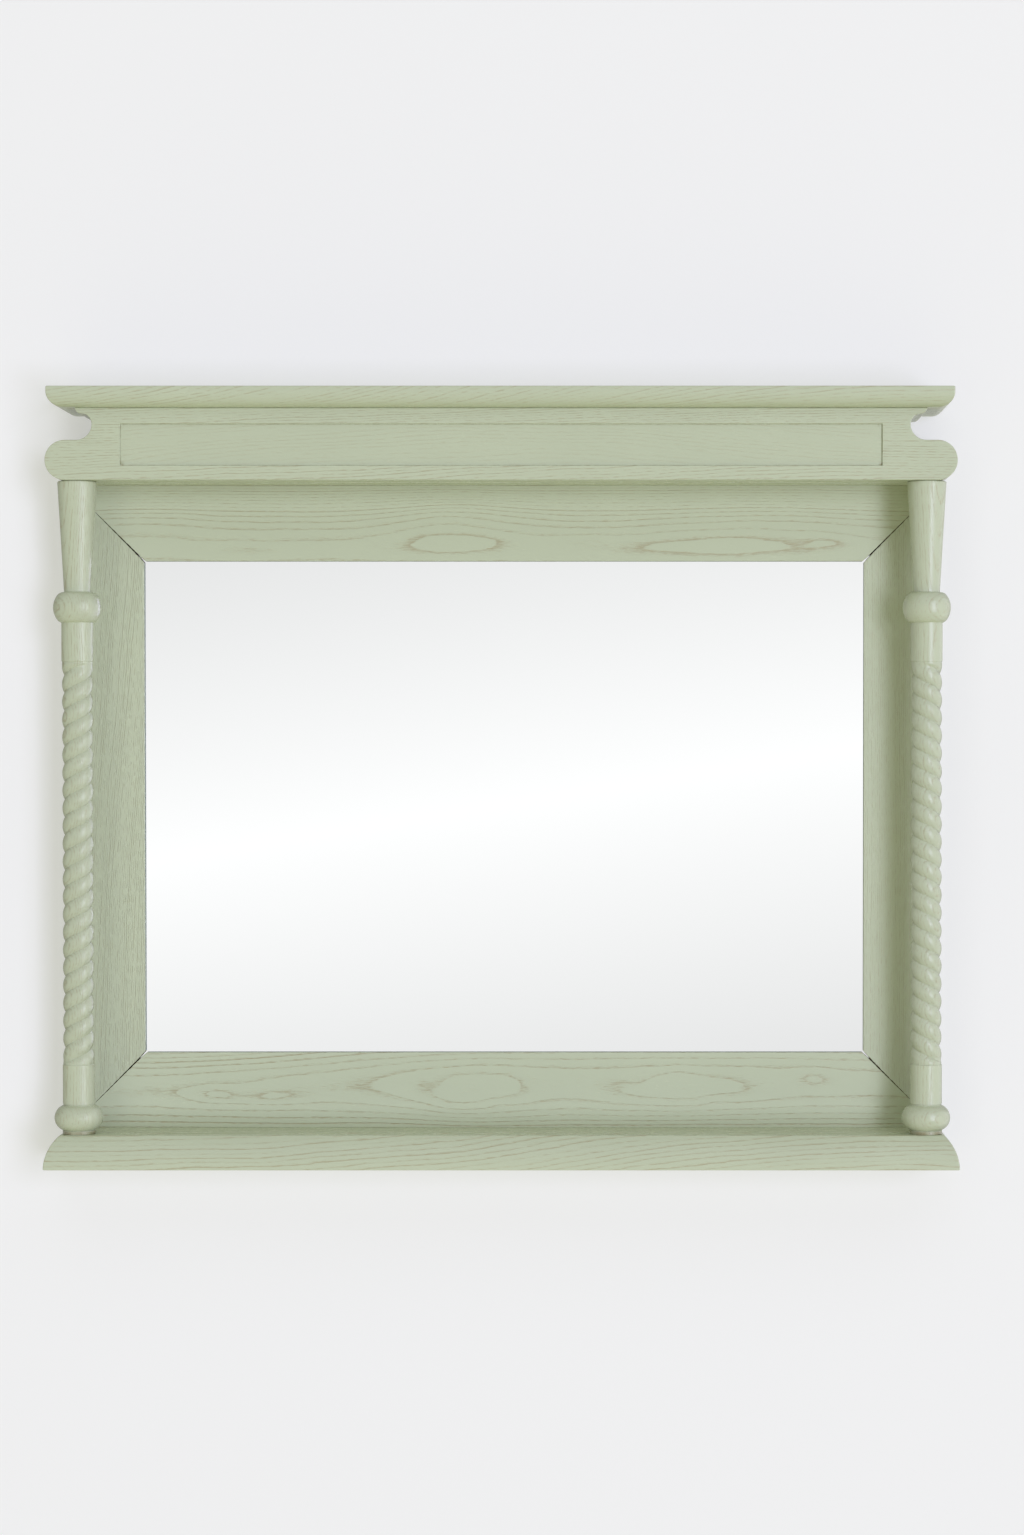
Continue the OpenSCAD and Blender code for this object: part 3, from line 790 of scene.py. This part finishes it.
low_ash = ash("painted_ash_bottom_rail", "XZY", (92, -14), low_figure, ring=9.0, quicken=30,
              contrast=0.97, broken=0.9, seed=37.0)
left_stile_ash = ash("painted_ash_left_stile", "ZXY", (-640, 20), [(900, -480, 500, 900, -50)],
                     ring=2.2, contrast=0.5, relief=0.9, seed=41.0)
right_stile_ash = ash("painted_ash_right_stile", "ZXY", (640, 20), ring=2.4, contrast=0.6,
                      relief=0.6, seed=43.0)
print("swellings in the rails' figure:", len(top_figure), "and", len(low_figure))

# %% A board cut on the mitre at both ends

# The width of a joint's gap at its inner corner and how fast it grows, the size of the chips, the
# rounding at the cut edge, and how far the rings at each end lie from it.
MITRE_GAP = 1.8
OPENING_POWER = 1.6
CHIP = 0.2
END_ROUND = 0.35
END_RINGS = (0.0, END_ROUND, 2.0, 12.0)


def mitred_board(name, corner, along, across, length, finish, node):
    """A frame board from its outer corner: along and across are unit directions.

    Each point lies at (cut + d) along, where cut = a + opening + chips, a is how far the point is
    from the outer edge, the opening grows as a to the power OPENING_POWER, the chips are three sine
    waves of a that grow with a, and d is the distance of the ring from the end. The other end is
    the same, measured back from the length. Each end's own ring lies END_ROUND behind the face."""
    section = board_section()
    width = board_width / MM
    a = section[:, 0]
    reach = a / width
    opening_up = MITRE_GAP / np.sqrt(2) * reach ** OPENING_POWER
    chips = CHIP * reach * (np.sin(a * 0.71 + length) + np.sin(a * 1.83) + np.sin(a * 3.1))
    through = np.where(section[:, 1] > LIP, 0.0, 1.0)
    cut = a + (opening_up + chips) * through
    back = np.array(END_RINGS)[:, None]
    near = cut + back
    far = length / MM - near[::-1]
    run = np.concatenate([near, far])
    drop = np.zeros_like(run)
    on_face = section[:, 1] < LIP / 2
    drop[0, on_face] = END_ROUND
    drop[-1, on_face] = END_ROUND
    rings = (np.array(corner) + run[..., None] * MM * np.array(along)
             + (a * MM)[None, :, None] * np.array(across)
             + ((section[:, 1] + drop) * MM)[..., None] * np.array((0, 1, 0)))
    # The lip's wall and underside get the painted shade of the gap beside the glass.
    lip_wall = np.where(np.isclose(a, width), 2, 0)
    return stacked(name, rings, [finish, mitre_wood, lip_painted_shade], [node], lip_wall, end_finish=1)


# %% The four boards
right, up = np.array((1, 0, 0)), np.array((0, 0, 1))
mitred_board("painted_top_rail", (-frame_x, frame_y, frieze_z), right, -up, frame_w,
             top_ash, "frame_top_rail")
mitred_board("painted_bottom_rail", (-frame_x, frame_y, shelf_top), right, up, frame_w,
             low_ash, "frame_bottom_rail")
left_stile = mitred_board("painted_left_stile", (-frame_x, frame_y, shelf_top), up, right,
                          frame_h, left_stile_ash, "frame_left_stile")
right_stile = mitred_board("painted_right_stile", (frame_x, frame_y, shelf_top), up, -right,
                           frame_h, right_stile_ash, "frame_right_stile")

# %% [markdown]
# ## Recesses for plates and screws
#
# The steel plates lie flush in the backs of the stiles, over a hollow for the screw heads. Their ends
# are round, and the rows of a stile's faces run straight, so they don't fit into its grid. Both are
# cut with a Boolean from a drawing of two half circles and the straight sides between them, and the
# result is written back into the mesh, so no cutter stays in the scene. The heads of the screws that
# hold the shelf lie in round holes in its underside, cut in the same way.

# %% A router for recesses


def slot_outline(x, z, width, height):
    """A slot with round ends, as X and Z: half a circle above and half a circle below."""
    r = width / 2
    rise = height / 2 - r
    return np.concatenate([arc((x, z + rise), r, 0, 180, 17), arc((x, z - rise), r, 180, 360, 17)])


def rout(piece, outline, near, far):
    """Cuts a prism out of a piece: the outline as XYZ points, moved by near and by far.

    The Boolean goes before the piece's own modifier, which rests until the cut is in the mesh."""
    rings = np.stack([outline + near, outline + far])
    mesh = bpy.data.meshes.new("cutter")
    many = len(outline)
    caps = [list(range(many))[::-1], list(range(many, 2 * many))]
    mesh.from_pydata(rings.reshape(-1, 3).tolist(), [], ring_faces(2, many).tolist() + caps)
    work = bmesh.new()
    work.from_mesh(mesh)
    bmesh.ops.recalc_face_normals(work, faces=work.faces)
    work.to_mesh(mesh)
    work.free()
    cutter = bpy.data.objects.new("cutter", mesh)
    bpy.context.scene.collection.objects.link(cutter)
    saw = piece.modifiers.new("cut", "BOOLEAN")
    saw.object = cutter
    saw.operation = "DIFFERENCE"
    saw.solver = "EXACT"
    piece.modifiers.move(1, 0)
    piece.modifiers[1].show_viewport = False
    bpy.context.view_layer.update()
    result = bpy.data.meshes.new_from_object(piece.evaluated_get(
        bpy.context.evaluated_depsgraph_get()))
    piece.modifiers.remove(saw)
    piece.modifiers[0].show_viewport = True
    piece.data = result
    bpy.data.objects.remove(cutter)


# %% Recesses for the plates

# A plate's thickness; the depth, width, height and rise of the pocket behind it; and how far a cutter
# starts outside the wood.
PLATE_T = 2 * MM
POCKET, POCKET_W, POCKET_H = 8 * MM, 12 * MM, 24 * MM
POCKET_UP = 1 * MM
BEYOND = 1 * MM


def rout_from_back(piece, outline, depth):
    """Cuts a prism of X and Z into a piece, from behind the wall plane to depth before it."""
    flat = np.stack([outline[:, 0], np.zeros(len(outline)), outline[:, 1]], axis=1)
    rout(piece, flat, (0, wall_y - depth, 0), (0, wall_y + BEYOND, 0))


for stile, node in ((left_stile, "hanger_left"), (right_stile, "hanger_right")):
    low, high = span(node)
    middle = (low + high) / 2
    wide, tall = high[0] - low[0], high[2] - low[2]
    rout_from_back(stile, slot_outline(middle[0], middle[2], wide, tall), PLATE_T)
    pocket = slot_outline(middle[0], middle[2] + POCKET_UP, POCKET_W, POCKET_H)
    rout_from_back(stile, pocket, PLATE_T + POCKET)
    print(node, "recess cut,", len(stile.data.polygons), "faces")

# %% Holes for the heads of the shelf's screws

# How many screws there are, the depth of a hole, and the gap round a head.
SHELF_SCREWS = 4
SINK = 2.4 * MM
SINK_GAP = 0.3 * MM
screws_low, screws_high = span("shelf_screws")
head_r = (screws_high[1] - screws_low[1]) / 2
for x in np.linspace(screws_low[0] + head_r, screws_high[0] - head_r, SHELF_SCREWS):
    flat = arc((x, screws_low[1] + head_r), head_r + SINK_GAP, 0, 360, 33)[:-1]
    round_hole = np.concatenate([flat, np.zeros((len(flat), 1))], axis=1)
    rout(shelf, round_hole, (0, 0, -BEYOND), (0, 0, SINK))
print("shelf sunk for its screws,", len(shelf.data.polygons), "faces")

# %% [markdown]
# ## The glass
#
# A mirror is a sheet of glass with silver behind it. Clear glass over a metal sheet would copy that,
# but its two reflections need more light paths and look the same from here. So the solid that the
# frame already holds gets one plain mirror finish, faintly cool. The thin line that the eye sees
# round it is the edge of the frame's lip, whose dark grey is painted shade, and the reflection of
# that edge.

# %% Mirror finish


def dress(node, finish):
    """Gives a solid that keeps its own shape a new finish."""
    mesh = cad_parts[node].data
    mesh.materials.clear()
    mesh.materials.append(finish)
    print(node, "gets", finish.name)


def silvered():
    """A metal without any roughness, a trace darker in red."""
    finish, shader, _ = start_finish("silvered_glass")
    feed(shader, base_color=srgb(251, 252, 252), metallic=1.0, roughness=0.0)
    return finish


dress("mirror_glass", silvered())

# %% [markdown]
# ## Plainer pieces
#
# The frieze's panel and soffit are flat painted boards, and behind the paint are planed ash, brown
# hardboard and zinc-plated steel. Making them again would change nothing that the eye can see, so
# they keep the shapes of their solids. Each gets a finish at its true scale: grime and painted shade
# along the panel's edges, fine speckles in the hardboard, and faint brushing and dull patches on the
# steel.

# %% Hardboard and zinc


def hardboard():
    """Brown fibre board: a fine noise, and a little of a coarse one, mix two browns."""
    finish, shader, place = start_finish("brown_hardboard")
    fibres = place.noise((900.0, 900.0, 900.0), detail=3.0, roughness=0.7)
    cloud = place.noise((45.0, 45.0, 45.0), detail=3.0)
    speckle = fibres * 0.88 + cloud * 0.12
    colour = speckle.ramp(0.3, 0.7).tint(srgb(112, 82, 54), srgb(160, 126, 90))
    feed(shader, base_color=colour, roughness=fibres * 0.2 + 0.6, normal=bumped(fibres * 0.15))
    return finish


def zinc():
    """Zinc-plated steel: a satin metal, brushed along Z by a drawn-out noise, dulled in patches."""
    finish, shader, place = start_finish("zinc_steel")
    brushed = place.noise((3000.0, 3000.0, 90.0), detail=2.0)
    patches = place.noise((120.0, 120.0, 120.0), detail=3.0)
    colour = patches.tint(srgb(150, 152, 155), srgb(192, 194, 196))
    feed(shader, base_color=colour, metallic=1.0, roughness=brushed * 0.2 + patches * 0.15 + 0.25,
         normal=bumped(brushed * 0.02))
    return finish


# %% Grime and painted shade along the edges of the panel

# The reach of the smudges in the corners, in millimetres.
SMUDGE = 7


def panel_grime_and_shade(place, axis):
    """Brown marks along the edges of the panel, partly grime and partly painted shade where the board
    laps over it, and brown smudges in its corners.

    The edge mask is the greater of two smooth steps, in X and in Z, and the corner mask is the
    product of two wider ones. Noise breaks both."""
    middle = (panel_high[2] + panel_low[2]) / 2 / MM
    reach = (panel_high[2] - panel_low[2] - 2 * PANEL_LAP) / 2 / MM
    run = (panel_high[0] - PANEL_LAP) / MM
    x, z = abs(axis["X"]), abs(axis["Z"] - middle)
    edge = x.ramp(run - 1.4, run - 0.2).math("MAXIMUM", z.ramp(reach - 1.2, reach - 0.2))
    corner = x.ramp(run - SMUDGE, run) * z.ramp(reach - SMUDGE, reach)
    patches = place.noise((180.0, 180.0, 180.0)).ramp(0.4, 0.6)
    # Edges: grime and painted shade; corners: brown smudges.
    return edge * (patches * 0.3 + 0.15) + corner * patches * 0.6


panel_ash = ash("painted_ash_panel", "XZY", (650, 300), [(0, 850, 600, 900, -40)], ring=2.8,
                contrast=0.28, seed=47.0, marks_and_shade=panel_grime_and_shade)
dress("frieze_panel", panel_ash)

# %% The soffit and the pieces behind
soffit_ash = ash("painted_ash_soffit", "XYZ", (-70, 60), ring=4.4, contrast=0.5, seed=53.0)
bare_ash = ash("bare_planed_ash", "XZY", (700, 120), ring=4.0, seed=59.0,
               wood=(BARE_ASH, BARE_PORE))
dress("frieze_soffit", soffit_ash)
for node in ("frieze_back_rail", "glue_blocks", "column_dowels_top", "column_dowels_bottom",
             "mitre_biscuits"):
    dress(node, bare_ash)
dress("backing_board", hardboard())
steel = zinc()
for node in ("retaining_points", "hanger_left", "hanger_right", "hanger_screws", "shelf_screws",
             "frame_screws"):
    dress(node, steel)

# %% [markdown]
# ## Wall and floor
#
# The mirror hangs on a pale wall and throws a soft shadow on it. One curved backdrop would serve for
# an object that stands, but here the wall has to lie flat behind it, so it is a plane, and the floor
# is another. Both only receive the shadow. Each is pale on the side that faces the room and clear on
# the other, so that the object's back and underside can be seen past them too. Diffuse and glossy
# rays don't meet them, so the room alone lights the object.

# %% A finish for the stage

# How much of the light on it the surface returns, and how much it glows.
LIT = 0.565
GLOW = 0.49


def stage_finish(name, colour):
    """A matt surface that is clear from behind, and lifted by a glow of its own.

    What the camera sees = colour * (LIT * the light on it + GLOW)."""
    finish = bpy.data.materials.new(name)
    finish.use_nodes = True
    tree = finish.node_tree
    tree.nodes.clear()
    side = Signal(tree, tree.nodes.new("ShaderNodeNewGeometry").outputs["Backfacing"])
    matt = side.node("BsdfDiffuse", {}, {"Color": (*[LIT * part for part in colour[:3]], 1.0)})
    glow = side.node("Emission", {}, {"Color": colour, "Strength": GLOW})
    matt = side.node("AddShader", {}, {0: matt, 1: glow})
    clear = side.node("BsdfTransparent", {}, {})
    both = side.node("MixShader", {}, {0: side, 1: matt, 2: clear})
    output = tree.nodes.new("ShaderNodeOutputMaterial")
    tree.links.new(both.output, output.inputs["Surface"])
    return finish


# %% Wall and floor

# Their colour, the floor's level, half the room's width, and the gap between object and wall.
WALL = srgb(238, 238, 237)
FLOOR_Z = -0.9
ROOM_HALF = 9.0
WALL_GAP = 1 * MM


def stage_plane(name, corners, colour):
    """A large four-cornered face that isn't part of the object."""
    mesh = bpy.data.meshes.new(name)
    mesh.from_pydata(corners, [], [(0, 1, 2, 3)])
    mesh.materials.append(stage_finish(name + "_finish", colour))
    plane = bpy.data.objects.new(name, mesh)
    bpy.context.scene.collection.objects.link(plane)
    plane.visible_diffuse = False
    plane.visible_glossy = False
    plane.visible_shadow = False
    print(name, "receives the shadow")


behind = wall_y + WALL_GAP
half = ROOM_HALF
stage_plane("wall", [(-half, behind, FLOOR_Z), (half, behind, FLOOR_Z), (half, behind, half),
                     (-half, behind, half)], WALL)
stage_plane("floor", [(-half, -half, FLOOR_Z), (half, -half, FLOOR_Z), (half, behind, FLOOR_Z),
                      (-half, behind, FLOOR_Z)], WALL)

# %% [markdown]
# ## The room
#
# A picture of a real room could surround the object, but a formula needs no file, and each part of it
# can be set by itself. So the room is the world's background, as a function of a ray's direction. To
# diffuse light it is what the floor and the ceiling throw back, a little warm, as from wood, and a
# neutral light from the wall behind. To reflections it is a soft band of white that fades above and
# below, as a bright room fades in a mirror. The band is brighter far round on the right, where a
# window is, and darker towards the shaded wall on the left. The camera sees an even pale ground.

# %% The world's background

# What the camera sees, and what the floor, the ceiling and the wall behind return.
BACKDROP_LEVEL = 0.855
FLOOR_BOUNCE = 0.97
CEILING_BOUNCE = 0.55
WALL_BOUNCE = 0.1
WARM_ROOM = (1.0, 1.0, 0.62, 1.0)
NEUTRAL = (1.0, 1.0, 1.0, 1.0)

# The white band: its strength, how it falls off and to what least share, how much it slopes and how
# low it lies, and how much there is more of it far on the right and less behind on the left.
BAND_LEVEL = 1.04
BAND_FALL, BAND_LOWEST, BAND_POWER = 1.17, 0.82, 2.2
BAND_TILT, BAND_DROP = 0.158, 0.0122
SIDE_WINDOW = 1.9
BEHIND_SHADE = 0.4
GRAZING = 0.05

world = bpy.data.worlds.new("bright_room")
bpy.context.scene.world = world
world.use_nodes = True
tree = world.node_tree
backing = tree.nodes["Background"]
look = Signal(tree, tree.nodes.new("ShaderNodeTexCoord").outputs["Generated"])
toward = [look.node("SeparateXYZ", {}, {0: look}, out=i) for i in range(3)]
path = tree.nodes.new("ShaderNodeLightPath")
camera_ray = Signal(tree, path.outputs["Is Camera Ray"])
glossy_ray = Signal(tree, path.outputs["Is Glossy Ray"])

# A ray meets a wall one metre away at X / depth to the side and at the height Z / depth.
depth = abs(toward[1]).math("MAXIMUM", GRAZING)
off_band = abs(toward[2] / depth - toward[0] / depth * BAND_TILT + BAND_DROP)
band = (1 - off_band * BAND_FALL).math("MAXIMUM", BAND_LOWEST) ** BAND_POWER * BAND_LEVEL
band = band * (toward[0].ramp(0.6, 0.85) * SIDE_WINDOW + 1)
band = band * (1 - toward[1].ramp(0.0, 0.3) * toward[0].ramp(0.3, -0.3) * BEHIND_SHADE)

# The floor's light grows downwards and the ceiling's upwards, and the wall adds its own from behind.
bounce = ((toward[2] * -FLOOR_BOUNCE).math("MAXIMUM", toward[2] * CEILING_BOUNCE)
          + toward[1].ramp(-0.1, 0.1) * WALL_BOUNCE)
off_camera = glossy_ray * band + (1 - glossy_ray) * bounce
seen = camera_ray * BACKDROP_LEVEL + (1 - camera_ray) * off_camera
tree.links.new(seen.output, backing.inputs["Strength"])
neutral = (camera_ray + glossy_ray).math("MAXIMUM", toward[1].ramp(-0.1, 0.1))
colour = neutral.tint(WARM_ROOM, NEUTRAL)
tree.links.new(colour.output, backing.inputs["Color"])
print("nodes in the room's formula:", len(tree.nodes))

# %% [markdown]
# ## The windows
#
# A Sun lamp is round, and a window is a tall rectangle, whose shape shows in the soft edge of each
# shadow. So windows are large lamps far away, each placed by the angle at which the object sees it.
# Five of them stand for the windows and the ceiling, and their daylight is cooler than the room. The
# two brightest, side by side on the right, draw the soft shadows, and a broad one far round on the
# left lights the columns' left sides but hardly the flat boards. A window's narrow reflection in the
# gloss of a column needs its own place, so these lamps don't show in gloss, and one nearer lamp
# shows only there.

# %% A window as a lamp

# The point that every lamp faces.
OBJECT_MIDDLE = Vector((0, 0, 0.456))


def window(name, azimuth, elevation, wide, tall, brightness, tone, distance=25.0, in_gloss=False):
    """A rectangular lamp, placed and sized by angles in degrees as the object sees it.

    Azimuth 0 is straight in front and grows to the right. A side's length = 2 * distance * the
    tangent of half its angle, and power = brightness * pi * area. A lamp gives either plain light
    or, in_gloss, only its reflection."""
    lamp = bpy.data.lights.new(name, "AREA")
    lamp.shape = "RECTANGLE"
    lamp.size = 2 * distance * np.tan(np.radians(wide / 2))
    lamp.size_y = 2 * distance * np.tan(np.radians(tall / 2))
    lamp.color = tone
    lamp.energy = brightness * np.pi * lamp.size * lamp.size_y
    turn, lift = np.radians(azimuth), np.radians(elevation)
    away = Vector((np.sin(turn) * np.cos(lift), -np.cos(turn) * np.cos(lift), np.sin(lift)))
    holder = bpy.data.objects.new(name, lamp)
    holder.location = OBJECT_MIDDLE + away * distance
    holder.rotation_euler = away.to_track_quat("Z", "Y").to_euler()
    holder.visible_glossy = in_gloss
    holder.visible_diffuse = not in_gloss
    bpy.context.scene.collection.objects.link(holder)
    print(name, "is", round(lamp.size, 1), "by", round(lamp.size_y, 1), "metres")


# %% The windows and the ceiling

# Tones of daylight as shares of red, green and blue.
DAY = (1.0, 1.0, 1.3)
HIGH_DAY = (0.9, 1.0, 1.2)
SOFT_DAY = (1.05, 1.0, 0.93)
GLOSS_DAY = (1.05, 1.0, 1.5)
window("near window", azimuth=21, elevation=-1, wide=14, tall=32, brightness=7.4, tone=DAY)
window("next window", azimuth=28, elevation=-1, wide=14, tall=32, brightness=4.4, tone=DAY)
window("window on the left", azimuth=-22, elevation=0, wide=20, tall=35, brightness=1.08,
       tone=SOFT_DAY)
window("glow along the wall", azimuth=-78, elevation=5, wide=30, tall=60, brightness=0.6, tone=DAY)
window("bright ceiling", azimuth=10, elevation=45, wide=60, tall=30, brightness=0.7, tone=HIGH_DAY)
window("window in the gloss", azimuth=38, elevation=7, wide=22, tall=52, brightness=2.4,
       tone=GLOSS_DAY, distance=3.2, in_gloss=True)

# %% [markdown]
# ## The camera
#
# The photograph was taken with a long lens from about four metres, a little to the right of the
# object's middle and slightly above it, and framed with room to spare above and below. Turning the
# camera towards the object's middle would make its straight lines converge. So the camera looks
# almost straight ahead, and the lens's shift does the framing, as on an architect's camera.

# %% Camera

# The place in metres, the lens and the sensor in millimetres, the pitch in degrees, the shifts as
# shares of the picture's longer side, and the greatest distance that the camera sees.
CAMERA_AT = (0.1535, -4.056, 0.4995)
LENS = 80.65
SENSOR = 36.0
PITCH = 1.17
SHIFT_X = -0.0788
SHIFT_Y = 0.0291
FAR = 50.0

lens = bpy.data.cameras.new("camera")
lens.lens = LENS
lens.sensor_width = SENSOR
lens.sensor_fit = "AUTO"
lens.shift_x = SHIFT_X
lens.shift_y = SHIFT_Y
lens.clip_end = FAR
camera = bpy.data.objects.new("camera", lens)
camera.location = CAMERA_AT
camera.rotation_euler = (np.radians(90 - PITCH), 0, 0)
bpy.context.scene.collection.objects.link(camera)
bpy.context.scene.camera = camera
bpy.context.scene.view_settings.view_transform = "Standard"
print("field of view in degrees:", round(np.degrees(lens.angle), 1))
